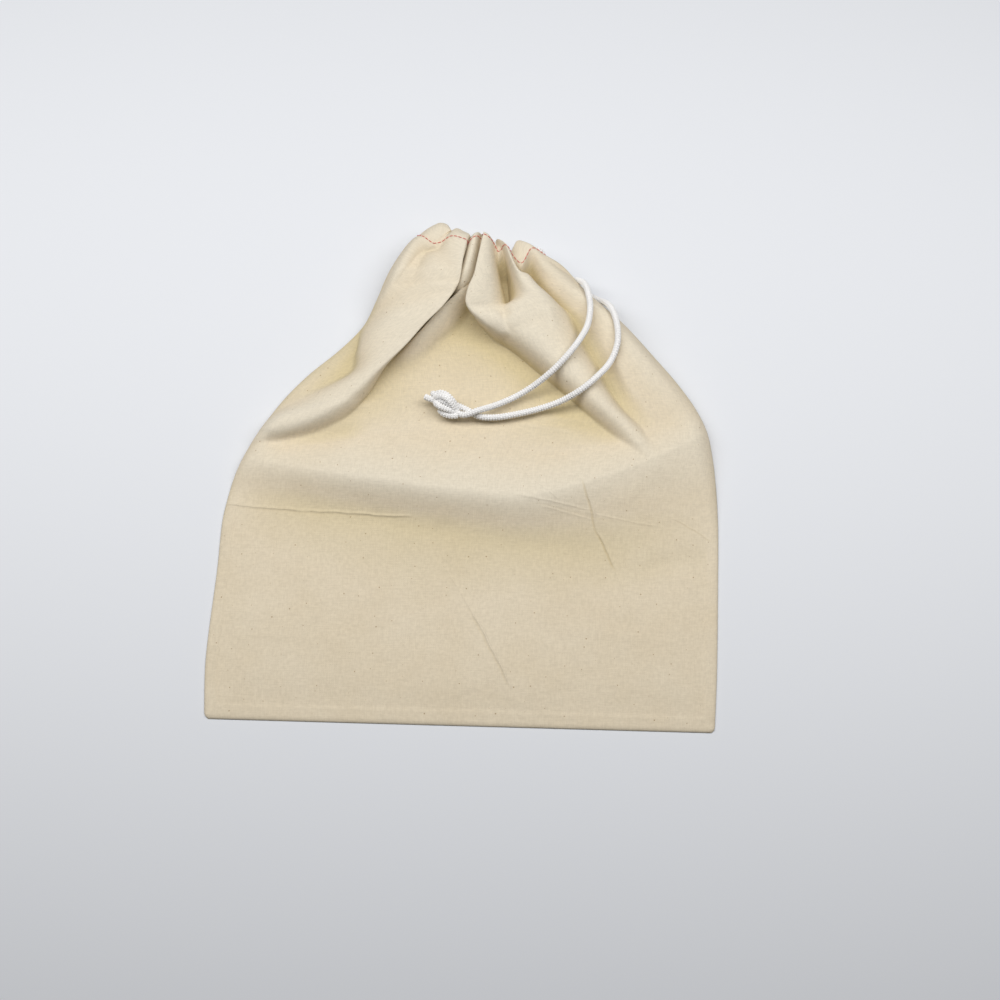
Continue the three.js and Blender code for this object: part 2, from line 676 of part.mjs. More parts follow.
function drawstringBag() {
  const cotton = new THREE.MeshStandardMaterial({ color: clothColour, roughness: 0.95, metalness: 0 });
  const cordYarn = new THREE.MeshStandardMaterial({ color: cordColour, roughness: 0.8, metalness: 0 });
  const bag = new THREE.Group();
  bag.add(backPanel(cotton));
  bag.add(frontPanel(cotton));
  bag.add(hemCasing(cotton));
  bag.add(cordInHem(cordYarn));
  bag.add(cordAlong("drawcord_strand_upper", cordRoutes.upper, 36, cordYarn));
  bag.add(cordAlong("drawcord_strand_lower", cordRoutes.lower, 38, cordYarn));
  bag.add(cordKnot(cordYarn));
  for (const [end, route] of Object.entries(tailRoutes)) {
    const from = new THREE.Vector3(...route.from);
    const to = new THREE.Vector3(...route.to);
    to.sub(from).setLength(tailLength - knotLength / 4).add(from);
    bag.add(cordAlong("cord_tail_" + end, [from.toArray(), to.toArray()], 2, cordYarn));
  }
  return bag;
}

// The cloth's box, whose middle stands over the origin.
const bag = drawstringBag();
const clothBox = new THREE.Box3();
for (const name of ["back_panel", "front_panel", "hem_casing"]) {
  clothBox.expandByObject(bag.getObjectByName(name));
}
bag.position.set(
  -(clothBox.min.x + clothBox.max.x) / 2,
  -(clothBox.min.y + clothBox.max.y) / 2,
  -clothBox.min.z,
);

export default new THREE.Group().add(bag);
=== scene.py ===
import math

import bpy
import numpy as np
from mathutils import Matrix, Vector, noise


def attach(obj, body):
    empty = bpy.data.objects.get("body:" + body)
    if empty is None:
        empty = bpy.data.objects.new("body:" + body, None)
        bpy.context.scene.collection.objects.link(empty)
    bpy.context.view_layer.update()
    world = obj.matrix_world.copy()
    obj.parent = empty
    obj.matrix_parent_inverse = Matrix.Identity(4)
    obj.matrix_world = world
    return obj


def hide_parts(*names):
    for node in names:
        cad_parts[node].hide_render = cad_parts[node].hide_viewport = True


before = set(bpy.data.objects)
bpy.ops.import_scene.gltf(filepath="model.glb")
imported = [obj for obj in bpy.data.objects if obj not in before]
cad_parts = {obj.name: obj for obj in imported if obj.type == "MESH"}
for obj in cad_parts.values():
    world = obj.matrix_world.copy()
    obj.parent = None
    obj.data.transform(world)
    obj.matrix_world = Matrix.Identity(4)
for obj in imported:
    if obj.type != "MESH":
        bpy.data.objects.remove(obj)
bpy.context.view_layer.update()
print("Frame loaded")

# The bag's own frame: X across from its middle, Y up from the bottom seam, Z off the table.
bag = {
    "width": 0.305,
    "length": 0.355,
    "takeUp": 0.037,  # length that the roll and the gathers use up
    "hemHeight": 0.012,
    "flatLift": 0.0028,
    "rollHeight": 0.016,
    "gatherHeight": 0.034,
    "edgeRound": 0.012,
    "backGather": 0.005,  # how far the back's gathers stand off the table
    "backGathers": 4,
    "mouthSlope": 0.006,  # how much lower the right end of the mouth lies
    "mouthMiddle": 0.0157,
    "mouthReach": 0.0104,
    "creaseBlend": 0.0018,  # how softly a fold's foot runs into the cloth beside it
    "softBlend": 0.005,
    "thinEdge": 0.5,  # how much thinner the sewn edges lie
    "thinReach": 0.03,  # and how far in
    "place": (0.000543, -0.15719, 0.000009),  # the bag's frame in the part's frame
}
halfWidth = bag["width"] / 2
lyingLength = bag["length"] - bag["takeUp"]
stitchPlace = lyingLength - bag["hemHeight"]


def table(names, *rows):
    return {name: np.array(column) for name, column in zip(names.split(), zip(*rows))}


# Reads a column of a table at any place between its rows, eased through them.
def readTable(rows, column, at):
    ats, values = rows["at"], rows[column]
    last = len(ats) - 1
    before = np.maximum(np.arange(last + 1) - 1, 0)
    after = np.minimum(np.arange(last + 1) + 1, last)
    slopes = (values[after] - values[before]) / (ats[after] - ats[before])
    at = np.clip(at, ats[0], ats[-1])
    i = np.clip(np.searchsorted(ats, at, side="right") - 1, 0, last - 1)
    span = ats[i + 1] - ats[i]
    t = (at - ats[i]) / span
    ease = t * t * (3 - 2 * t)
    bend = span * t * (1 - t) * ((1 - t) * slopes[i] - t * slopes[i + 1])
    return values[i] + (values[i + 1] - values[i]) * ease + bend


def easeStep(t):
    c = np.clip(t, 0, 1)
    return c * c * (3 - 2 * c)


def blendUp(a, b, width):
    near = np.maximum(width - np.abs(a - b), 0) / width
    return np.maximum(a, b) + near * near * width / 4


# The outline: left and right are shares of half the width, seam is how far the side seams have
# risen to the middle of the mouth, round is a share of the edge's rounding.
outline = table(
    "at left right seam round",
    (0, 0.985, 0.98, 0, 0.25),
    (0.006, 0.998, 0.99, 0, 0.25),
    (0.02, 1.003, 0.993, 0, 0.25),
    (0.12, 1.01, 1, 0, 0.25),
    (0.3, 0.988, 1.003, 0, 0.3),
    (0.39, 0.981, 1.003, 0, 0.45),
    (0.44, 0.965, 1, 0, 0.6),
    (0.49, 0.94, 0.993, 0, 0.8),
    (0.54, 0.898, 0.982, 0, 1),
    (0.6, 0.828, 0.957, 0.01, 1),
    (0.65, 0.757, 0.908, 0.03, 1),
    (0.7, 0.665, 0.835, 0.07, 1),
    (0.75, 0.55, 0.745, 0.16, 1),
    (0.8, 0.455, 0.648, 0.3, 1),
    (0.85, 0.405, 0.538, 0.5, 1),
    (0.9, 0.36, 0.438, 0.74, 1),
    (0.94, 0.296, 0.36, 0.94, 1),
    (0.963, 0.24, 0.275, 1, 1),
)

# The soft roll: crest and foot are shares of the lying length, height of the roll's height.
roll = table(
    "at crest foot height",
    (-1.02, 0.525, 0.442, 0.5),
    (-0.67, 0.494, 0.418, 0.8),
    (-0.35, 0.472, 0.396, 0.95),
    (0, 0.453, 0.366, 1),
    (0.25, 0.447, 0.349, 1),
    (0.5, 0.48, 0.332, 1.05),
    (0.75, 0.53, 0.312, 1.05),
    (1.02, 0.605, 0.345, 0.75),
)
valley = table(
    "at height", (0, 1), (0.08, 0.9), (0.2, 0.66), (0.38, 0.48), (0.8, 0.46), (1, 0.85)
)

# The gathers. Left foot, crest, right foot and lean are shares of half the width, height is a share
# of the highest gather. Soft is how wide a side spreads at its foot. Lean is how far the crest is
# pushed over sideways, so that its fold hangs over the cloth beside it.
gathers = {
    "left sleeve": table(
        "at left crest right height softLeft softRight lean",
        (0.54, -1.05, -0.88, -0.7, 0.2, 1, 1.3, 0),
        (0.555, -1.05, -0.82, -0.63, 0.35, 1, 1.2, 0),
        (0.57, -1.05, -0.73, -0.57, 0.45, 1.2, 1.1, 0),
        (0.604, -1, -0.585, -0.48, 0.5, 2, 0.8, 0),
        (0.645, -0.86, -0.5, -0.42, 0.54, 3, 0.7, 0.02),
        (0.692, -0.54, -0.445, -0.38, 0.59, 1.1, 0.5, 0.06),
        (0.739, -0.482, -0.4, -0.335, 0.66, 0.45, 0.4, 0.115),
        (0.786, -0.47, -0.34, -0.27, 0.72, 0.5, 0.4, 0.135),
        (0.824, -0.46, -0.27, -0.195, 0.77, 0.6, 0.4, 0.137),
        (0.868, -0.42, -0.19, -0.12, 0.82, 0.65, 0.4, 0.11),
        (0.918, -0.29, -0.14, -0.085, 0.88, 0.5, 0.4, 0.08),
        (0.963, -0.165, -0.1, -0.055, 0.94, 0.4, 0.4, 0.056),
    ),
    "left outer pleat": table(
        "at left crest right height softLeft softRight lean",
        (0.8, -0.47, -0.41, -0.34, 0.3, 0.9, 0.8, 0),
        (0.824, -0.45, -0.393, -0.3, 0.45, 0.9, 0.7, 0),
        (0.868, -0.42, -0.34, -0.24, 0.64, 0.9, 0.6, 0),
        (0.918, -0.375, -0.29, -0.2, 0.74, 0.9, 0.5, 0),
        (0.963, -0.3, -0.22, -0.14, 0.8, 0.9, 0.4, 0),
    ),
    "middle pleat": table(
        "at left crest right height softLeft softRight lean",
        (0.852, -0.105, -0.07, -0.045, 0.2, 0.5, 0.6, 0),
        (0.866, -0.108, -0.066, -0.02, 0.58, 0.5, 0.6, 0),
        (0.89, -0.1, -0.045, 0.012, 0.74, 0.5, 0.5, 0),
        (0.918, -0.078, -0.026, 0.024, 0.84, 0.5, 0.5, 0),
        (0.963, -0.05, -0.006, 0.036, 0.93, 0.5, 0.5, 0),
    ),
    "front pleat": table(
        "at left crest right height softLeft softRight lean",
        (0.77, 0.1, 0.157, 0.22, 0.55, 0.5, 0.6, -0.035),
        (0.79, 0.055, 0.118, 0.21, 0.76, 0.45, 0.6, -0.07),
        (0.82, 0.005, 0.072, 0.175, 0.88, 0.4, 0.6, -0.09),
        (0.85, 0, 0.06, 0.14, 0.94, 0.4, 0.5, -0.08),
        (0.885, 0.016, 0.062, 0.115, 0.97, 0.4, 0.4, -0.06),
        (0.918, 0.028, 0.062, 0.1, 0.99, 0.4, 0.35, -0.048),
        (0.963, 0.04, 0.062, 0.085, 1, 0.4, 0.35, -0.03),
    ),
    "right sleeve": table(
        "at left crest right height softLeft softRight lean",
        (0.49, 0.7, 0.775, 0.95, 0.36, 1, 1.6, 0),
        (0.52, 0.645, 0.735, 0.92, 0.48, 0.9, 1.6, 0),
        (0.55, 0.6, 0.685, 0.87, 0.53, 0.8, 1.7, 0),
        (0.59, 0.52, 0.615, 0.78, 0.56, 0.7, 1.6, 0),
        (0.63, 0.44, 0.54, 0.66, 0.6, 0.6, 1.1, -0.01),
        (0.67, 0.355, 0.472, 0.575, 0.66, 0.55, 0.6, -0.02),
        (0.71, 0.26, 0.407, 0.53, 0.735, 0.5, 0.5, -0.035),
        (0.75, 0.165, 0.341, 0.482, 0.79, 0.45, 0.45, -0.055),
        (0.79, 0.05, 0.29, 0.44, 0.85, 0.45, 0.4, -0.07),
        (0.82, 0.04, 0.26, 0.405, 0.88, 0.5, 0.36, -0.04),
        (0.85, 0.125, 0.24, 0.342, 0.9, 0.6, 0.33, 0),
        (0.885, 0.13, 0.2, 0.268, 0.91, 0.7, 0.33, 0),
        (0.918, 0.118, 0.168, 0.212, 0.92, 0.7, 0.33, 0),
        (0.963, 0.088, 0.118, 0.15, 0.94, 0.6, 0.33, 0),
    ),
    "right outer pleat": table(
        "at left crest right height softLeft softRight lean",
        (0.53, 0.6, 0.89, 1.02, 0.14, 0.9, 1, 0),
        (0.58, 0.58, 0.87, 1.02, 0.22, 0.9, 1, 0),
        (0.63, 0.5, 0.8, 0.98, 0.34, 0.9, 1, 0),
        (0.7, 0.41, 0.7, 0.88, 0.45, 0.9, 1, 0),
        (0.76, 0.36, 0.615, 0.77, 0.53, 0.9, 1, 0),
        (0.82, 0.28, 0.52, 0.69, 0.57, 0.9, 1, 0),
        (0.87, 0.22, 0.4, 0.58, 0.63, 0.9, 1, 0),
        (0.918, 0.19, 0.3, 0.475, 0.7, 0.9, 1, 0),
        (0.963, 0.15, 0.22, 0.33, 0.78, 0.6, 1, 0),
    ),
    "lip under the left sleeve": table(
        "at left crest right height softLeft softRight lean",
        (0.7, -0.42, -0.33, -0.15, 0.14, 1, 1.7, 0),
        (0.74, -0.34, -0.272, -0.11, 0.3, 0.8, 1.8, 0),
        (0.77, -0.26, -0.222, -0.07, 0.42, 0.5, 1.8, -0.006),
        (0.8, -0.186, -0.168, -0.01, 0.51, 0.35, 1.9, -0.012),
        (0.833, -0.126, -0.108, 0.03, 0.57, 0.35, 2, -0.012),
        (0.868, -0.062, -0.043, 0.05, 0.6, 0.35, 2, -0.012),
        (0.91, -0.035, -0.005, 0.05, 0.6, 0.5, 2, 0),
    ),
}


def edgesAt(y):
    at = y / lyingLength
    rest = seams["rest"]
    return {
        "left": -halfWidth * readTable(outline, "left", at),
        "right": halfWidth * readTable(outline, "right", at),
        "seam": rest + (bag["mouthMiddle"] - rest) * readTable(outline, "seam", at),
        "round": bag["edgeRound"] * readTable(outline, "round", at),
    }


# The seams: the sewn allowance shows through as a low step inside the side and bottom seams.
seams = {
    "rest": 0.00115,  # their height on the table, before the drop
    "drop": 0.001,  # how much lower they lie where the bag rests on the table
    "apart": 0.0003,  # between the front's edge and the back's
    "sideAllowance": 0.0078,
    "bottomAllowance": 0.0095,
    "allowanceStep": 0.00045,
    "allowanceSlope": 0.0014,
}


def neckRise(y):
    return easeStep((y / stitchPlace - 0.72) / 0.28)


def seamDrop(y):
    return seams["drop"] * (1 - easeStep(neckRise(y)))


def panelHeight(x, y):
    across = x / halfWidth
    crest = lyingLength * readTable(roll, "crest", across)
    foot = lyingLength * readTable(roll, "foot", across)
    top = bag["rollHeight"] * readTable(roll, "height", across)
    share = np.clip((y - foot * 0.97) / (crest - foot * 0.97), 0, 1)
    sharp = 0.1 + 0.35 * easeStep(across / 0.8)
    climb = (1 - sharp) * easeStep(share) ** 1.6 + sharp * share**2.2
    rising = bag["flatLift"] + (top - bag["flatLift"]) * climb
    falling = top * readTable(valley, "height", (y - crest) / (stitchPlace - crest))
    return np.where(y < crest, rising, falling)


def gatherAt(rows, x, y):
    at = y / lyingLength
    crest = halfWidth * readTable(rows, "crest", at)
    left = halfWidth * readTable(rows, "left", at)
    right = halfWidth * readTable(rows, "right", at)
    lean = halfWidth * readTable(rows, "lean", at)
    onLeft = x < crest
    t = (x - crest) / np.where(onLeft, left - crest, right - crest)
    inside = (t < 1) & (at >= rows["at"][0])
    t = np.clip(t, 0, 1)
    softness = np.where(onLeft, readTable(rows, "softLeft", at), readTable(rows, "softRight", at))
    height = bag["gatherHeight"] * readTable(rows, "height", at) * (1 - t * t) ** softness
    push = lean * np.where((lean > 0) == onLeft, (1 - t) ** 1.3, 1 - t * t)
    return np.where(inside, height, -bag["gatherHeight"]), np.where(inside, push, 0)


def roundedUp(distance, radius):
    t = 1 - np.clip(distance / radius, 0, 1)
    return np.sqrt(1 - t * t)


# Small pulls in the cloth: from, to, width and height, in metres.
pulls = [
    ((0.080, 0.092), (0.147, 0.112), 0.016, -0.0005),
    ((0.098, 0.106), (0.147, 0.125), 0.014, 0.0004),
    ((0.040, 0.196), (0.075, 0.193), 0.004, 0.0006),
    ((0.035, 0.190), (0.062, 0.186), 0.003, 0.0005),
    ((-0.060, 0.262), (-0.030, 0.272), 0.006, -0.0008),
    ((-0.055, 0.283), (-0.030, 0.286), 0.005, 0.0007),
    ((-0.052, 0.276), (-0.022, 0.279), 0.004, -0.0006),
    ((0.012, 0.262), (0.030, 0.256), 0.006, -0.0012),
    ((0.030, 0.245), (0.050, 0.252), 0.008, -0.0008),
    ((0.048, 0.262), (0.057, 0.247), 0.005, 0.0008),
    ((0.100, 0.205), (0.088, 0.232), 0.007, 0.0007),
    ((-0.100, 0.192), (-0.060, 0.202), 0.006, 0.0008),
    ((-0.134, 0.185), (-0.084, 0.191), 0.016, 0.0018),
    ((-0.122, 0.1725), (-0.068, 0.184), 0.014, -0.0024),
    ((-0.134, 0.183), (-0.120, 0.175), 0.006, -0.0009),
    ((-0.030, 0.301), (-0.040, 0.276), 0.007, 0.0009),
    ((-0.026, 0.300), (-0.028, 0.270), 0.006, -0.0009),
    ((-0.016, 0.296), (-0.022, 0.272), 0.006, 0.0008),
    ((-0.046, 0.290), (-0.064, 0.262), 0.01, 0.0009),
    ((0.020, 0.300), (0.034, 0.276), 0.005, -0.0008),
    ((0.044, 0.284), (0.062, 0.262), 0.007, 0.001),
    ((0.050, 0.276), (0.072, 0.246), 0.008, -0.001),
    ((0.083, 0.236), (0.112, 0.196), 0.01, 0.001),
    ((0.074, 0.246), (0.098, 0.204), 0.008, -0.0009),
    ((0.050, 0.200), (0.092, 0.180), 0.014, -0.0012),
]


def pullsAt(x, y):
    total = np.zeros(np.broadcast(x, y).shape)
    for (x0, y0), (x1, y1), width, height in pulls:
        length = math.hypot(x1 - x0, y1 - y0)
        along = ((x - x0) * (x1 - x0) + (y - y0) * (y1 - y0)) / length**2
        beside = ((x - x0) * (y1 - y0) - (y - y0) * (x1 - x0)) / length
        ends = easeStep(along / 0.34 + 0.5) * easeStep((1 - along) / 0.34 + 0.5)
        total += height * np.exp(-((beside / (width / 2)) ** 2)) * ends
    return total


def fromSides(x, edge):
    return np.minimum(x - edge["left"], edge["right"] - x)


def allowanceAt(x, y, edge):
    slope = seams["allowanceSlope"]
    side = easeStep((seams["sideAllowance"] - fromSides(x, edge)) / slope)
    fades = easeStep((0.16 - y) / 0.05)
    bottom = easeStep((seams["bottomAllowance"] - y) / slope)
    return seams["allowanceStep"] * np.maximum(side * fades, bottom)


# Soft unevenness of cloth that has been folded and handled: scale across and along, place in the
# noise, and height in metres.
handled = [(14, 14, 3.1, 0.0009), (45, 60, 8.7, 0.00025)]


def handledAt(x, y):
    out = np.zeros(x.shape)
    for index in np.ndindex(x.shape):
        a, b = float(x[index]), float(y[index])
        out[index] = sum(h * noise.noise(Vector((a * p, b * q, r))) for p, q, r, h in handled)
    return out


# Where the front pleat and the right sleeve run into one another: below this share of the length.
junction = {"below": 0.85, "over": 0.05, "crease": 0.003, "soften": 0.012, "sink": 0.0006}


def frontTop(x, y):
    edge = edgesAt(y)
    panel = panelHeight(x, y)
    height = panel
    found = {name: gatherAt(rows, x, y) for name, rows in gathers.items()}
    joined = easeStep((junction["below"] - y / lyingLength) / junction["over"])
    soften = junction["soften"] * joined
    pleat, pleatPush = found["front pleat"]
    sleeve, sleevePush = found["right sleeve"]
    share = easeStep((pleat - sleeve) / (junction["crease"] + soften) + 0.5)
    found["front pleat"] = (
        blendUp(pleat, sleeve, bag["creaseBlend"] + soften) - junction["sink"] * joined,
        pleatPush * share + sleevePush * (1 - share),
    )
    found["right sleeve"] = (sleeve - 1, sleevePush * 0)
    for name, (one, _) in found.items():
        soft = name == "right outer pleat"
        height = blendUp(height, one, bag["softBlend"] if soft else bag["creaseBlend"])
    mouthFloor = bag["mouthMiddle"] + bag["mouthReach"]
    towardsMouth = easeStep((y - 0.9 * stitchPlace) / (0.1 * stitchPlace))
    height = blendUp(height, mouthFloor * towardsMouth, bag["creaseBlend"])
    beside = fromSides(x, edge)
    side = roundedUp(beside, edge["round"])
    bottom = roundedUp(y, edge["round"])
    # The sewn edges lie thin, and the cloth rises slowly from them
    flat = 1 - easeStep((y / lyingLength - 0.25) / 0.25)
    thin = easeStep(np.minimum(beside, y) / bag["thinReach"])
    height = height * (1 - flat * (1 - thin) * bag["thinEdge"])
    seam = edge["seam"] + seams["apart"] / 2 - seamDrop(y)
    push = np.zeros(height.shape)
    for name, (one, sideways) in found.items():
        others = np.maximum.reduce([panel] + [found[other][0] for other in found if other != name])
        push += sideways * easeStep((one - others) / 0.003 + 0.3)
    return seam + (height - seam) * side * bottom, push * side


# Where the stitch line that closes the hem lies, as its gathers pull it up and down.
stitchLine = table(
    "at place",
    (-0.26, 0.3125),
    (-0.235, 0.311),
    (-0.178, 0.3043),
    (-0.16, 0.3046),
    (-0.133, 0.3077),
    (-0.098, 0.3045),
    (-0.06, 0.3035),
    (-0.035, 0.3044),
    (0.005, 0.308),
    (0.03, 0.3074),
    (0.06, 0.3078),
    (0.078, 0.3045),
    (0.09, 0.2998),
    (0.112, 0.3022),
    (0.14, 0.299),
    (0.187, 0.2925),
    (0.225, 0.3022),
    (0.275, 0.3008),
)


def slipAt(x, y):
    middle = 0.28 * halfWidth
    tilt = bag["mouthSlope"] * (x + middle) / (2 * middle)
    pulled = readTable(stitchLine, "place", x / halfWidth) - stitchPlace + tilt
    at = y / stitchPlace
    return tilt * easeStep((at - 0.85) / 0.15) - pulled * easeStep((at - 0.88) / 0.12) ** 2


def backUnder(x, y):
    edge = edgesAt(y)
    across = (x - edge["left"]) / (edge["right"] - edge["left"])
    waves = 0.5 - 0.5 * np.cos(2 * np.pi * bag["backGathers"] * across)
    gathered = bag["backGather"] * neckRise(y) * waves
    side = roundedUp(fromSides(x, edge), edge["round"])
    seam = edge["seam"] - seams["apart"] / 2 - seamDrop(y)
    return seam + (gathered - seam) * side


# Evens out the columns of a row of points along its own length, with more of them at sharp folds,
# where each radian of turning counts as this much length.
turnLength = 0.0016


def evenColumns(row, count, evenness):
    parts = np.diff(row, axis=0)
    steps = np.linalg.norm(parts, axis=1)
    unit = parts / np.maximum(steps, 1e-9)[:, None]
    turns = np.arccos(np.clip((unit[1:] * unit[:-1]).sum(axis=1), -1, 1))
    turns = np.convolve(np.concatenate([[0], turns]), np.ones(9) / 9, mode="same")
    along = np.concatenate([[0], np.cumsum(steps + turnLength * turns)])
    along /= along[-1]
    plain = np.linspace(0, 1, len(row))
    target = np.linspace(0, 1, count)
    mixed = evenness * along + (1 - evenness) * plain
    return np.stack([np.interp(target, mixed, row[:, k]) for k in range(3)], axis=1)


# How far each place stands out of the cloth around it, 0 deep in a fold to 1 on a crest.
def exposure(points, reach=56, depth=0.012):
    level = np.pad(points[..., 2], reach, mode="edge")
    for axis in (0, 1, 0, 1):
        total = np.cumsum(np.insert(level, 0, 0, axis=axis), axis=axis)
        size = reach + 1
        first = np.take(total, range(size, total.shape[axis]), axis=axis)
        last = np.take(total, range(total.shape[axis] - size), axis=axis)
        level = (first - last) / size
    return np.clip(0.5 + (points[..., 2] - level) / depth, 0, 1)


def placed(name, data):
    made = bpy.data.objects.new(name, data)
    bpy.context.scene.collection.objects.link(made)
    return made


def surfaceMesh(name, points, faceUp=True, keepFace=None):
    rows, columns = points.shape[:2]
    mesh = bpy.data.meshes.new(name)
    index = np.arange(rows * columns).reshape(rows, columns)
    quads = np.stack([index[:-1, :-1], index[:-1, 1:], index[1:, 1:], index[1:, :-1]], axis=-1)
    if not faceUp:
        quads = quads[..., ::-1]
    if keepFace is not None:
        quads = quads[keepFace]
    quads = quads.reshape(-1, 4)
    place = np.array(bag["place"])
    mesh.from_pydata((points.reshape(-1, 3) + place).tolist(), [], quads.tolist())
    mesh.shade_smooth()
    # The cloth's own coordinates, in metres, for the weave
    across = np.linalg.norm(np.diff(points, axis=1), axis=2)
    across = np.concatenate([np.zeros((rows, 1)), np.cumsum(across, axis=1)], axis=1)
    across -= across[:, columns // 2 : columns // 2 + 1]
    along = np.linalg.norm(np.diff(points, axis=0), axis=2)
    along = np.concatenate([np.zeros((1, columns)), np.cumsum(along, axis=0)], axis=0)
    uv = np.stack([across, along], axis=-1).reshape(-1, 2)
    layer = mesh.uv_layers.new(name="cloth")
    loopVertices = np.zeros(len(mesh.loops), dtype=np.int32)
    mesh.loops.foreach_get("vertex_index", loopVertices)
    layer.data.foreach_set("uv", uv[loopVertices].ravel().astype(np.float32))
    stands = mesh.attributes.new("exposure", "FLOAT", "POINT")
    stands.data.foreach_set("value", exposure(points).ravel().astype(np.float32))
    mesh.validate()
    return placed(name, mesh)


# Materials
cloth = {
    "colour": (0.73, 0.64, 0.49, 1),
    "shade": (0.69, 0.59, 0.43, 1),
    # Painted light on the crests, where the cloth stands out
    "crest": (0.745, 0.68, 0.555, 1),
    "paintedFoldShade": (0.6, 0.505, 0.3, 1),  # painted shade in the folds
    # Painted shade along the pressed-in grooves of the creases
    "paintedCreaseShade": (0.55, 0.42, 0.2, 1),
    "neps": (0.34, 0.23, 0.12, 1),
    "nepSize": 0.044,
    "nepsPerMetre": 95.0,
    "yarn": 0.00062,  # from one yarn to the next
    "bump": 0.00012,
}


# Creases where the cloth was folded in its pack: from, to, width and height, in metres.
creases = [
    ((-0.150, 0.1350), (-0.098, 0.1325), 0.0016, 0.0005),
    ((-0.105, 0.1328), (-0.030, 0.1300), 0.0016, 0.0004),
    ((-0.150, 0.1335), (-0.030, 0.1285), 0.002, -0.00006),
    ((0.069, 0.153), (0.079, 0.121), 0.0012, -0.0002),
    ((0.0704, 0.153), (0.0804, 0.121), 0.0016, 0.00024),
    ((0.078, 0.124), (0.090, 0.099), 0.0012, -0.00024),
    ((0.0794, 0.124), (0.0914, 0.099), 0.0016, 0.00026),
    ((0.089, 0.102), (0.103, 0.066), 0.0014, 0.0002),
    ((0.016, 0.183), (0.038, 0.152), 0.0012, 0.0001),
    ((0.034, 0.157), (0.056, 0.139), 0.0012, 0.00012),
    ((0.004, 0.073), (0.031, 0.022), 0.0014, 0.0004),
    ((0.0026, 0.0725), (0.0296, 0.0215), 0.0012, -0.0001),
    ((-0.012, 0.098), (0.008, 0.066), 0.0014, 0.00018),
    ((0.026, 0.1425), (0.080, 0.134), 0.0014, 0.00018),
    ((0.066, 0.1345), (0.118, 0.127), 0.0014, 0.00014),
    ((0.036, 0.138), (0.090, 0.1285), 0.0012, -0.00004),
    ((0.044, 0.1355), (0.078, 0.130), 0.0012, 0.00012),
    ((0.124, 0.134), (0.151, 0.119), 0.0014, 0.0002),
    ((0.126, 0.1325), (0.151, 0.1185), 0.0012, -0.00008),
    ((-0.140, 0.052), (-0.060, 0.050), 0.006, 0.00014),
    ((0.050, 0.062), (0.130, 0.055), 0.006, 0.00014),
    ((-0.090, 0.075), (-0.030, 0.080), 0.008, 0.00016),
    ((0.020, 0.020), (0.060, 0.006), 0.003, 0.00012),
]


# A new material, its shader's sockets, and short ways to add nodes to it.
class Nodes:
    def __init__(self, name):
        self.material = bpy.data.materials.new(name)
        self.material.use_nodes = True
        self.tree = self.material.node_tree
        self.shader = self.tree.nodes["Principled BSDF"]

    def fill(self, node, inputs):
        for key, value in inputs.items():
            if isinstance(value, bpy.types.NodeSocket):
                self.tree.links.new(value, node.inputs[key])
            else:
                node.inputs[key].default_value = value

    def add(self, kind, inputs=None, **settings):
        node = self.tree.nodes.new("ShaderNode" + kind)
        for key, value in settings.items():
            setattr(node, key, value)
        self.fill(node, inputs or {})
        return node

    def math(self, operation, a, b=0.0, c=0.0, clamped=False):
        inputs = {0: a, 1: b, 2: c}
        return self.add("Math", inputs, operation=operation, use_clamp=clamped).outputs[0]

    def vector(self, operation, a, b, output=0):
        return self.add("VectorMath", {0: a, 1: b}, operation=operation).outputs[output]

    def scaled(self, colour, factor):
        return self.add("VectorMath", {0: colour, "Scale": factor}, operation="SCALE").outputs[0]

    def mapped(self, value, low, high, toLow, toHigh, way="LINEAR"):
        inputs = {"Value": value, 1: low, 2: high, 3: toLow, 4: toHigh}
        return self.add("MapRange", inputs, interpolation_type=way).outputs[0]

    def mixed(self, factor, first, second):
        inputs = {"Factor": factor, 6: first, 7: second}
        return self.add("Mix", inputs, data_type="RGBA").outputs[2]

    def noise(self, place, scale, detail=2.0, roughness=0.5, flat=False, distortion=0.0):
        inputs = {"Vector": place, "Scale": scale, "Detail": detail, "Roughness": roughness}
        inputs["Distortion"] = distortion
        return self.add("TexNoise", inputs, noise_dimensions="2D" if flat else "3D").outputs["Fac"]

    def bump(self, height, distance, strength=1.0, normal=None):
        inputs = {"Height": height, "Strength": strength, "Distance": distance}
        if normal is not None:
            inputs["Normal"] = normal
        return self.add("Bump", inputs).outputs[0]


# The height of the creases at each place, wandering a little off their lines, and how far they
# are pressed in.
def creaseHeights(nodes, spot):
    wander = nodes.noise(spot, 60.0)
    wander = nodes.math("MULTIPLY_ADD", wander, 0.0036, -0.0018)
    creased, pressedIn = 0.0, 0.0
    for (x0, y0), (x1, y1), width, height in creases:
        length = math.hypot(x1 - x0, y1 - y0)
        way = ((x1 - x0) / length, (y1 - y0) / length, 0)
        middle = ((x0 + x1) / 2 + bag["place"][0], (y0 + y1) / 2 + bag["place"][1], 0)
        off = nodes.vector("SUBTRACT", spot, middle)
        along = nodes.vector("DOT_PRODUCT", off, way, "Value")
        beside = nodes.vector("DOT_PRODUCT", off, (way[1], -way[0], 0), "Value")
        beside = nodes.math("DIVIDE", nodes.math("ADD", beside, wander), width / 2)
        square = nodes.math("MULTIPLY", beside, beside)
        bell = nodes.math("EXPONENT", nodes.math("MULTIPLY", square, -1.0))
        far = nodes.math("ABSOLUTE", along)
        ends = nodes.mapped(far, length * 0.3, length * 0.54, height, 0.0, "SMOOTHSTEP")
        creased = nodes.math("MULTIPLY_ADD", bell, ends, creased)
        if height < 0:
            pressedIn = nodes.math("MULTIPLY_ADD", bell, ends, pressedIn)
    return creased, pressedIn


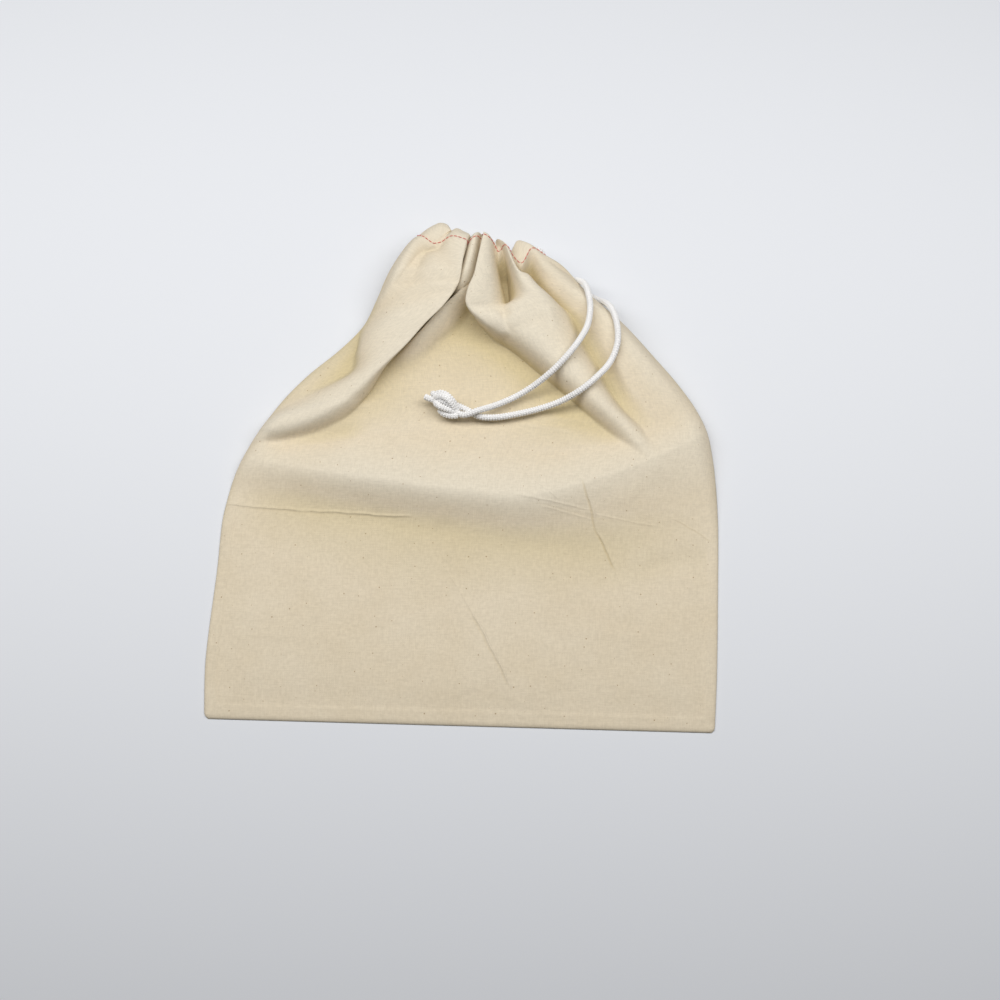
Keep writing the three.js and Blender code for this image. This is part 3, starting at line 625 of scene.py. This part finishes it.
def cottonMaterial():
    nodes = Nodes("unbleached cotton")
    uv = nodes.add("UVMap", uv_map="cloth").outputs["UV"]
    split = nodes.add("SeparateXYZ", {0: uv})

    # Plain weave: yarns over and under, thick and thin along their length
    def yarnWave(axis):
        step = math.pi / cloth["yarn"]
        return nodes.math("SINE", nodes.math("MULTIPLY", split.outputs[axis], step))

    def slub(x, y):
        return nodes.noise(nodes.vector("MULTIPLY", uv, (x, y, 1.0)), 1.0, roughness=0.6, flat=True)

    warp, weft = yarnWave("X"), yarnWave("Y")
    yarns = nodes.math("ADD", nodes.math("ABSOLUTE", warp), nodes.math("ABSOLUTE", weft))
    overUnder = nodes.math("MULTIPLY", nodes.math("MULTIPLY", warp, weft), 0.3)
    weave = nodes.math("ADD", nodes.math("MULTIPLY", yarns, 0.35), overUnder)
    slubs = nodes.math("ADD", slub(1500, 130), slub(130, 1500))
    # Neps: small dark specks, each cell with at most one
    cells = nodes.add(
        "TexVoronoi",
        {"Vector": uv, "Scale": cloth["nepsPerMetre"], "Randomness": 1.0},
        voronoi_dimensions="2D",
    )
    pick = nodes.add("SeparateColor", {0: cells.outputs["Color"]}).outputs[0]
    size = nodes.math("MULTIPLY", nodes.math("MULTIPLY", pick, pick), cloth["nepSize"])
    neps = nodes.math("LESS_THAN", cells.outputs["Distance"], size)
    # Colour: painted shade makes the cloth in the folds deeper, painted light makes the cloth on
    # the crests paler
    tone = nodes.mapped(nodes.noise(uv, 22.0, 4.0, 0.6, flat=True), 0.3, 0.7, 0.0, 0.55)
    colour = nodes.mixed(tone, cloth["colour"], cloth["shade"])
    stands = nodes.add("Attribute", attribute_name="exposure").outputs["Fac"]
    # Painted shade: deeper colour where the cloth lies low in a fold
    colour = nodes.mixed(nodes.mapped(stands, 0.48, 0.05, 0.0, 0.9), colour, cloth["paintedFoldShade"])
    # Painted light: paler colour where the cloth stands out on a crest
    colour = nodes.mixed(nodes.mapped(stands, 0.54, 1.0, 0.0, 0.9), colour, cloth["crest"])
    fuzz = nodes.noise(uv, 420.0, 3.0, 0.7, flat=True)
    uneven = nodes.math("MULTIPLY_ADD", fuzz, 1.6, nodes.math("SUBTRACT", slubs, 0.8))
    colour = nodes.scaled(colour, nodes.mapped(uneven, 0.6, 1.4, 0.94, 1.06))
    colour = nodes.mixed(nodes.math("MULTIPLY", neps, 0.75), colour, cloth["neps"])
    spot = nodes.add("TexCoord").outputs["Object"]
    creased, pressedIn = creaseHeights(nodes, spot)
    # Painted shade: the cloth is coloured darker along the pressed-in grooves of the creases
    line = nodes.math("MULTIPLY", pressedIn, -1500.0, clamped=True)
    colour = nodes.mixed(line, colour, cloth["paintedCreaseShade"])
    # Relief of the handled cloth and its creases, then of the weave
    handledRelief = nodes.noise(spot, 26.0, 3.0, distortion=1.2)
    creased = nodes.math("MULTIPLY_ADD", handledRelief, 0.0009, creased)
    weave = nodes.math("MULTIPLY", weave, 0.5)
    relief = nodes.math("ADD", weave, nodes.math("MULTIPLY", slubs, 1.1))
    normal = nodes.bump(relief, cloth["bump"], 0.6, nodes.bump(creased, 1.0))
    sockets = {
        "Base Color": colour,
        "Normal": normal,
        "Roughness": 0.92,
        "Specular IOR Level": 0.2,
        "Sheen Weight": 0.12,
        "Sheen Roughness": 0.5,
    }
    nodes.fill(nodes.shader, sockets)
    return nodes.material


def cordMaterial():
    nodes = Nodes("white knitted cord")
    place = nodes.add("TexCoord").outputs["Object"]
    colour = nodes.mixed(nodes.noise(place, 160.0), (0.9, 0.89, 0.885, 1), (0.95, 0.945, 0.94, 1))
    # Painted shade: the cord is coloured darker in the grooves between its stitches
    stitched = nodes.add("Attribute", attribute_name="stitch").outputs["Fac"]
    sockets = {
        "Base Color": nodes.scaled(colour, nodes.mapped(stitched, 0.05, 0.5, 0.78, 1.0)),
        "Normal": nodes.bump(nodes.noise(place, 2600.0, 3.0), 0.0001, 0.5),
        "Roughness": 0.8,
        "Specular IOR Level": 0.3,
        "Sheen Weight": 0.2,
    }
    nodes.fill(nodes.shader, sockets)
    return nodes.material


cotton = cottonMaterial()
cordYarn = cordMaterial()
print("Materials made")


# Cloth of the front
front = {"rows": 290, "columns": 340, "finest": 2200}


def rowPlaces(count):
    share = np.linspace(0, 1, count)
    seamShare, seamDepth = 0.06, 0.012  # rows lie closer together at the bottom seam
    corner = seamDepth * (share / seamShare) ** 1.6
    flat = seamDepth + (share - seamShare) * 0.48
    places = np.where(share < seamShare, corner, flat)
    bend = easeStep((share - 0.3) / 0.7)
    spread = places / places[-1]
    spread = spread * (1 - 0.12 * bend) + bend * 0.12
    return stitchPlace * spread / spread[-1]


def frontPoints():
    y = rowPlaces(front["rows"])[:, None]
    edge = edgesAt(y)
    share = np.linspace(0, 1, front["finest"])[None, :]
    x = edge["left"] + (edge["right"] - edge["left"]) * share
    z, lean = frontTop(x, y)
    fromEdge = np.minimum(fromSides(x, edge), y)
    z = z + (pullsAt(x, y) + allowanceAt(x, y, edge)) * roundedUp(fromEdge, edge["round"])
    points = np.stack([x + lean, y - slipAt(x, y) + 0 * x, z], axis=-1)
    return np.stack([evenColumns(row, front["columns"], 0.7) for row in points])


frontGrid = frontPoints()
fromEnds = np.minimum(np.arange(front["columns"]), np.arange(front["columns"])[::-1])
taper = easeStep(fromEnds[None, :] / 14) * easeStep(frontGrid[..., 1] / 0.02)
frontGrid[..., 2] += handledAt(frontGrid[..., 0], frontGrid[..., 1]) * taper
print("Front laid out")

# Cloth of the back
back = {"rows": 120, "columns": 160, "finest": 600}


def backPoints():
    y = rowPlaces(back["rows"])[:, None]
    edge = edgesAt(y)
    share = np.linspace(0, 1, back["finest"])[None, :]
    x = edge["left"] + (edge["right"] - edge["left"]) * share
    points = np.stack([x, y - slipAt(x, y) + 0 * x, backUnder(x, y)], axis=-1)
    return np.stack([evenColumns(row, back["columns"], 0.7) for row in points])


backGrid = backPoints()

# The hem, a turned channel round the mouth
hem = {
    "drawIn": 0.82,  # its free edge against its seam, as the cord draws it in
    "passage": 0.0035,
    "bulge": 0.0012,
    "gapAtSlot": 0.88,
    "outerRows": 12,
    "foldRows": 6,
    "innerRows": 8,
    "foldFrom": 0.93,  # the share of its height where it turns over
}
hemTip = table(
    "at aside rise tip",
    (-0.26, 0.5, 0.8, 0.1),
    (-0.18, 0.5, 0.8, 0.12),
    (-0.14, 0.15, 0.7, 0.35),
    (-0.08, 0, 0.6, 0.45),
    (-0.045, 0, 0.55, 0.45),
    (0, 0, 0.45, 0.55),
    (0.05, 0, 0.42, 0.6),
    (0.1, -0.15, 0.5, 0.5),
    (0.15, -0.2, 0.55, 0.45),
    (0.2, -0.3, 0.55, 0.35),
    (0.27, -0.08, 0.42, 0.25),
)


def hemPoints(rim):
    edge = edgesAt(np.array(stitchPlace))
    mouthLeft = edge["left"] + bag["mouthReach"]
    mouthRight = edge["right"] - bag["mouthReach"]
    middle = (mouthLeft + mouthRight) / 2
    x, z = rim[:, 0], rim[:, 2]
    axisX = np.clip(x, mouthLeft, mouthRight)
    outX, outZ = x - axisX, z - bag["mouthMiddle"]
    reach = np.maximum(np.hypot(outX, outZ), 1e-5)
    outX, outZ = outX / reach, outZ / reach
    aside = readTable(hemTip, "aside", x / halfWidth)
    rise = readTable(hemTip, "rise", x / halfWidth)
    tip = readTable(hemTip, "tip", x / halfWidth)
    rows = []

    def place(share, at):
        drawn = 1 - (1 - hem["drawIn"]) * share
        centre = middle + (axisX - middle) * drawn + bag["hemHeight"] * aside * share
        y = rim[:, 1] + bag["hemHeight"] * rise * share
        rows.append(np.stack([centre + outX * at, y, bag["mouthMiddle"] + outZ * at], axis=-1))

    foldFrom = hem["foldFrom"]
    inner = np.minimum(hem["passage"], reach * 0.4)
    for share in np.linspace(0, foldFrom, hem["outerRows"]):
        place(share, reach * (1 - tip * share) + hem["bulge"] * math.sin(math.pi * share))
    top = reach * (1 - tip)
    for angle in np.linspace(0.15, 0.85, hem["foldRows"]) * math.pi:
        half = (top - inner) / 2
        place(foldFrom + (1 - foldFrom) * math.sin(angle), inner + half + half * math.cos(angle))
    for share in np.linspace(0.9, 0.02, hem["innerRows"]):
        place(share, inner)
    return np.stack(rows)


frontHem = hemPoints(frontGrid[-1])
backHem = hemPoints(backGrid[-1])


# Leaves the slot at the right seam open
def slotFaces(grid):
    rows, columns = grid.shape[:2]
    keep = np.ones((rows - 1, columns - 1), dtype=bool)
    start = int(columns * (0.5 + hem["gapAtSlot"] / 2))
    keep[:, start:] = False
    return keep


frontPiece = surfaceMesh("front_cloth", frontGrid)
backPiece = surfaceMesh("back_cloth", backGrid, faceUp=False)
frontHemPiece = surfaceMesh("hem_front", frontHem)
backHemPiece = surfaceMesh("hem_back", backHem, faceUp=False, keepFace=slotFaces(backHem))
for piece, nodes in (
    (frontPiece, ["front_panel"]),
    (backPiece, ["back_panel"]),
    (frontHemPiece, ["hem_casing"]),
    (backHemPiece, ["hem_casing"]),
):
    piece.data.materials.append(cotton)
    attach(piece, "root")
    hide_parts(*nodes)
print("Cloth made")

# The drawcord
cord = {
    "diameter": 0.0037,
    "wales": 6,
    "stitch": 0.0016,
    "relief": 0.38,
    "sides": 48,
    "placeInHem": 0.4,  # a share of the hem's height, up from its seam
    "clearInHem": 0.0024,  # from the hem's inner wall to its middle
    "step": 0.3,  # along the tube, in millimetres
}
# The routes and the knot are in millimetres in the bag's frame
cordRoutes = {
    "upper": [
        (36.6, 304.4, 18),
        (39.6, 303.9, 16.8),
        (42.2, 301.8, 12.4),
        (45.2, 299, 8.2),
        (49, 296.2, 6.2),
        (53.8, 293, 6.2),
        (59.4, 289.6, 7.2),
        (64.6, 286.8, 11.5),
        (68.2, 281.7, 18),
        (70.6, 273, 22),
        (71.8, 263, 22.6),
        (70.4, 252, 23.2),
        (66, 241, 27),
        (59, 230, 28.5),
        (49, 220, 24),
        (38, 213, 16.5),
        (26, 206, 13.6),
        (14, 199.5, 15.4),
        (4, 194.6, 18.8),
        (-4, 192.6, 16.4),
        (-11, 195.2, 15),
    ],
    "lower": [
        (36.6, 304.4, 12.2),
        (39.6, 304.1, 10.6),
        (43.2, 302.4, 5.8),
        (47.6, 299.2, 3),
        (54, 294.6, 2.3),
        (62.6, 288, 2.3),
        (70.6, 281.4, 2.6),
        (77.6, 276.4, 5.6),
        (82.2, 271.4, 12.3),
        (85.6, 264.5, 18.6),
        (88.5, 254, 21.2),
        (89, 241, 21),
        (85, 229, 20.6),
        (77, 217, 25.2),
        (67, 208.5, 23.2),
        (55, 203.5, 16),
        (42, 199, 13.8),
        (28, 195, 13.8),
        (15, 192.4, 14),
        (5, 192.8, 14.2),
        (-3, 197, 14.4),
        (-11, 200.2, 15),
    ],
}


# A smooth centripetal line through the points, then even steps along it.
def smoothRoute(points, step):
    p = np.array(points, dtype=float)
    p = np.vstack([2 * p[0] - p[1], p, 2 * p[-1] - p[-2]])
    line = []
    for i in range(1, len(p) - 2):
        knots = [0.0]
        for j in range(3):
            knots.append(knots[-1] + math.sqrt(np.linalg.norm(p[i + j] - p[i + j - 1])))
        t0, t1, t2, t3 = knots
        for t in np.linspace(t1, t2, 24, endpoint=False):
            a1 = (t1 - t) / (t1 - t0) * p[i - 1] + (t - t0) / (t1 - t0) * p[i]
            a2 = (t2 - t) / (t2 - t1) * p[i] + (t - t1) / (t2 - t1) * p[i + 1]
            a3 = (t3 - t) / (t3 - t2) * p[i + 1] + (t - t2) / (t3 - t2) * p[i + 2]
            b1 = (t2 - t) / (t2 - t0) * a1 + (t - t0) / (t2 - t0) * a2
            b2 = (t3 - t) / (t3 - t1) * a2 + (t - t1) / (t3 - t1) * a3
            line.append((t2 - t) / (t2 - t1) * b1 + (t - t1) / (t2 - t1) * b2)
    line.append(p[-2])
    line = np.array(line)
    along = np.concatenate([[0], np.cumsum(np.linalg.norm(np.diff(line, axis=0), axis=1))])
    count = max(int(round(along[-1] / step)), 4)
    even = np.linspace(0, along[-1], count + 1)
    return np.stack([np.interp(even, along, line[:, k]) for k in range(3)], axis=1), along[-1]


# A tube of knitted cord: columns of V-shaped stitches round a smooth line.
def knittedTube(name, line, taperEnds=(False, False)):
    tangents = np.gradient(line, axis=0)
    tangents /= np.linalg.norm(tangents, axis=1)[:, None]
    normal = np.cross(tangents[0], (0, 0, 1))
    normal /= np.linalg.norm(normal)
    along = np.concatenate([[0], np.cumsum(np.linalg.norm(np.diff(line, axis=0), axis=1))])
    angles = np.linspace(0, 2 * math.pi, cord["sides"], endpoint=False)
    across = (angles * cord["wales"] / (2 * math.pi)) % 1 * 2 - 1
    leg = np.abs(across)
    rings, grooves = [], []
    for i, (point, tangent) in enumerate(zip(line, tangents)):
        normal = normal - tangent * normal.dot(tangent)
        normal /= np.linalg.norm(normal)
        side = np.cross(tangent, normal)
        phase = along[i] / (cord["stitch"] * 1000) - 0.5 * leg
        ridge = (0.5 + 0.5 * np.cos(2 * math.pi * phase)) ** 0.7
        stitch = ridge * (0.25 + 0.75 * np.sin(math.pi * leg))
        grooves.append(stitch)
        radius = cord["diameter"] * 500 * (1 + cord["relief"] * (stitch - 0.6))
        fromEnd = min(
            along[i] if taperEnds[0] else 99,
            along[-1] - along[i] if taperEnds[1] else 99,
        )
        radius = radius * math.sqrt(max(1 - max(1 - fromEnd / 1.2, 0) ** 2, 0.02))
        ring = np.outer(np.cos(angles) * radius, normal) + np.outer(np.sin(angles) * radius, side)
        rings.append(point + ring)
    rings = np.array(rings) / 1000 + np.array(bag["place"])
    count, sides = rings.shape[:2]
    index = np.arange(count * sides).reshape(count, sides)
    ahead = np.roll(index, -1, axis=1)
    quads = np.stack([index[:-1], ahead[:-1], ahead[1:], index[1:]], axis=-1).reshape(-1, 4)
    faces = quads.tolist() + [index[0][::-1].tolist(), index[-1].tolist()]
    mesh = bpy.data.meshes.new(name)
    mesh.from_pydata(rings.reshape(-1, 3).tolist(), [], faces)
    mesh.shade_smooth()
    stitched = mesh.attributes.new("stitch", "FLOAT", "POINT")
    stitched.data.foreach_set("value", np.array(grooves).ravel().astype(np.float32))
    mesh.validate()
    piece = placed(name, mesh)
    piece.data.materials.append(cordYarn)
    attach(piece, "root")
    return piece


strands = {}
for which, points in cordRoutes.items():
    line, length = smoothRoute(points, cord["step"])
    piece = knittedTube("drawcord_" + which, line)
    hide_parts("drawcord_strand_" + which)
    strands[which] = (piece, line, length / 1000)

# The overhand knot: bands of cord over its top, a turn round its foot, and what they hide
knotBands = {
    "far_band": [
        (-8, 195.6, 13.4),
        (-9.8, 198.8, 17),
        (-12.8, 202, 19.8),
        (-16.6, 204.8, 20),
        (-20.4, 205.6, 18),
        (-22, 203.6, 14.5),
    ],
    "near_band": [
        (-9.6, 193.8, 13.6),
        (-10.6, 196.6, 17.8),
        (-13.4, 199.6, 21),
        (-17.2, 202.2, 21.2),
        (-21, 203, 18.4),
        (-22.6, 201.6, 14.6),
    ],
    "foot_band": [
        (-21.6, 202.6, 14.4),
        (-21.4, 199.2, 17.2),
        (-19.2, 197, 18.6),
        (-16.2, 195.8, 18.2),
        (-12.8, 195, 17),
        (-8.5, 194.2, 15.2),
    ],
    "under_band": [
        (-19.8, 196.6, 14.4),
        (-16.4, 193.6, 14.8),
        (-12.6, 192.4, 15),
        (-7.5, 192.2, 15.6),
    ],
    "core": [(-10, 197.2, 16), (-13.5, 198.6, 18.4), (-17.5, 200.4, 18.8), (-20.5, 201.6, 17)],
}
for which, points in knotBands.items():
    piece = knittedTube("knot_" + which, smoothRoute(points, cord["step"])[0], (True, True))
    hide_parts("cord_knot")
tails = {
    "upper": [(-20.4, 201.2, 16.4), (-24.6, 202.6, 15.8), (-29, 204.8, 14.6)],
    "lower": [(-20.6, 203.4, 17.6), (-22.9, 205.4, 17), (-24.4, 206.9, 15.8)],
}
for which, points in tails.items():
    piece = knittedTube("cord_end_" + which, smoothRoute(points, cord["step"])[0], (False, True))
    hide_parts("cord_tail_" + which)
for which, (piece, line, length) in strands.items():
    path = (line[::4] / 1000 + np.array(bag["place"])).tolist()
    path[-1] = (line[-1] / 1000 + np.array(bag["place"])).tolist()


# Where the cord lies inside the hem, along one side of the mouth
def insideHem(grid):
    share = cord["placeInHem"]
    outerTop = grid[hem["outerRows"] - 1]
    innerTop = grid[hem["outerRows"] + hem["foldRows"]]
    outer = grid[0] + (outerTop - grid[0]) * share
    inner = grid[-1] + (innerTop - grid[-1]) * share
    out = outer - inner
    far = np.linalg.norm(out, axis=1)[:, None]
    return (inner + out / far * np.minimum(cord["clearInHem"], far / 2)) * 1000


frontSide, backSide = insideHem(frontHem), insideHem(backHem)
frontEnd, backEnd = int(0.93 * len(frontSide)), int(0.93 * len(backSide))
loop = np.vstack([frontSide[frontEnd:2:-5], backSide[2:backEnd:3]])
for turn in range(6):
    loop[1:-1] = (loop[:-2] + 2 * loop[1:-1] + loop[2:]) / 4
loop = np.vstack([[cordRoutes["upper"][0]], loop, [cordRoutes["lower"][0]]])
inHem = knittedTube("drawcord_in_the_hem", smoothRoute(loop[::2], 0.35)[0])
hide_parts("drawcord_in_hem")
print("Cord made")

# Stitches that close the hem
stitches = {
    "length": 0.0027,
    "gap": 0.00035,
    "thread": 0.00052,
    "colour": (0.6, 0.08, 0.07, 1),
    "worn": (0.68, 0.17, 0.14, 1),
}


def stitchMesh(name, rim, normals):
    steps = np.linalg.norm(np.diff(rim, axis=0), axis=1)
    along = np.concatenate([[0], np.cumsum(steps)])
    vertices, faces = [], []
    at = 0.0008
    while at + stitches["length"] < along[-1]:
        shares = np.linspace(0, 1, 7)
        places = at + stitches["length"] * shares
        points = np.stack([np.interp(places, along, rim[:, k]) for k in range(3)], axis=1)
        out = np.stack([np.interp(places, along, normals[:, k]) for k in range(3)], axis=1)
        out /= np.linalg.norm(out, axis=1)[:, None]
        tangent = np.gradient(points, axis=0)
        tangent /= np.linalg.norm(tangent, axis=1)[:, None]
        side = np.cross(out, tangent)
        radius = stitches["thread"] / 2 * np.sqrt(np.maximum(1 - (2 * shares - 1) ** 4, 0.05))
        rise = stitches["thread"] * 0.55 * (1 - (2 * shares - 1) ** 4) - 0.00005
        centre = points + out * rise[:, None]
        start = len(vertices)
        for i in range(7):
            for k in range(6):
                angle = 2 * math.pi * k / 6
                around = math.cos(angle) * out[i] + math.sin(angle) * side[i]
                ring = centre[i] + radius[i] * around + np.array(bag["place"])
                vertices.append((ring[0], ring[1], max(ring[2], 0.00002)))
        for i in range(6):
            for k in range(6):
                a, b = start + i * 6 + k, start + i * 6 + (k + 1) % 6
                faces.append((a, b, b + 6, a + 6))
        faces.append([start + k for k in range(5, -1, -1)])
        faces.append([start + 36 + k for k in range(6)])
        at += stitches["length"] + stitches["gap"]
    mesh = bpy.data.meshes.new(name)
    mesh.from_pydata(vertices, [], faces)
    mesh.shade_smooth()
    return placed(name, mesh)


def rimNormals(grid):
    alongRow = np.gradient(grid[-1], axis=0)
    up = grid[-1] - grid[-4]
    normals = np.cross(alongRow, up)
    return normals / np.linalg.norm(normals, axis=1)[:, None]


def threadMaterial():
    nodes = Nodes("red sewing thread")
    fibres = nodes.noise(nodes.add("TexCoord").outputs["Object"], 900.0)
    colour = nodes.mixed(fibres, stitches["colour"], stitches["worn"])
    nodes.fill(nodes.shader, {"Base Color": colour, "Roughness": 0.6})
    return nodes.material


thread = threadMaterial()
stitchRows = [("hem_stitches_front", frontGrid, 1), ("hem_stitches_back", backGrid, -1)]
for name, grid, flip in stitchRows:
    piece = stitchMesh(name, grid[-2][4:-4], flip * rimNormals(grid)[4:-4])
    piece.data.materials.append(thread)
    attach(piece, "root")
print("Stitches made")

# Table, light and camera
studio = {
    "lens": 101.52,
    "cameraPlace": (0.03664, -0.44648, 1.62212),  # in the bag's frame
    "tilt": 20,
    "turn": 1.673,
    "table": (0.754, 0.774, 0.813, 1),
    "tableReach": 4,
    "fillColour": (0.94, 0.96, 1, 1),
    "fill": 0.1,
    "key": 11.9,
    "keyColour": (1, 0.99, 0.975),
    "keyPlace": (-0.08, 0.175, 0.79),
    "keyAim": (-0.08, 0.165, 0),
    "keySize": (2.1, 0.4),
}
reach = studio["tableReach"]
corners = [(-reach, -reach, 0), (reach, -reach, 0), (reach, reach, 0), (-reach, reach, 0)]
tableMesh = bpy.data.meshes.new("table_top")
tableMesh.from_pydata(corners, [], [(0, 1, 2, 3)])
tableTop = placed("table_top", tableMesh)
tableNodes = Nodes("pale table")
tableSockets = {"Base Color": studio["table"], "Roughness": 0.7, "Specular IOR Level": 0.2}
tableNodes.fill(tableNodes.shader, tableSockets)
tableTop.data.materials.append(tableNodes.material)

world = bpy.data.worlds.new("studio")
bpy.context.scene.world = world
world.use_nodes = True
world.node_tree.nodes["Background"].inputs["Color"].default_value = studio["fillColour"]
world.node_tree.nodes["Background"].inputs["Strength"].default_value = studio["fill"]

light = bpy.data.lights.new("softbox", "AREA")
light.shape = "RECTANGLE"
light.size, light.size_y = studio["keySize"]
light.energy = studio["key"]
light.color = studio["keyColour"]
lamp = placed("softbox", light)
lamp.location = studio["keyPlace"]
lamp.visible_camera = False
aim = Vector(studio["keyAim"]) - Vector(studio["keyPlace"])
lamp.rotation_euler = aim.to_track_quat("-Z", "Y").to_euler()

camera = placed("camera", bpy.data.cameras.new("camera"))
camera.data.lens = studio["lens"]
camera.data.sensor_width = 36
camera.location = np.array(studio["cameraPlace"]) + np.array(bag["place"])
camera.rotation_euler = (math.radians(studio["tilt"]), 0, math.radians(studio["turn"]))
bpy.context.scene.camera = camera
bpy.context.scene.view_settings.view_transform = "Standard"
print("Studio set")
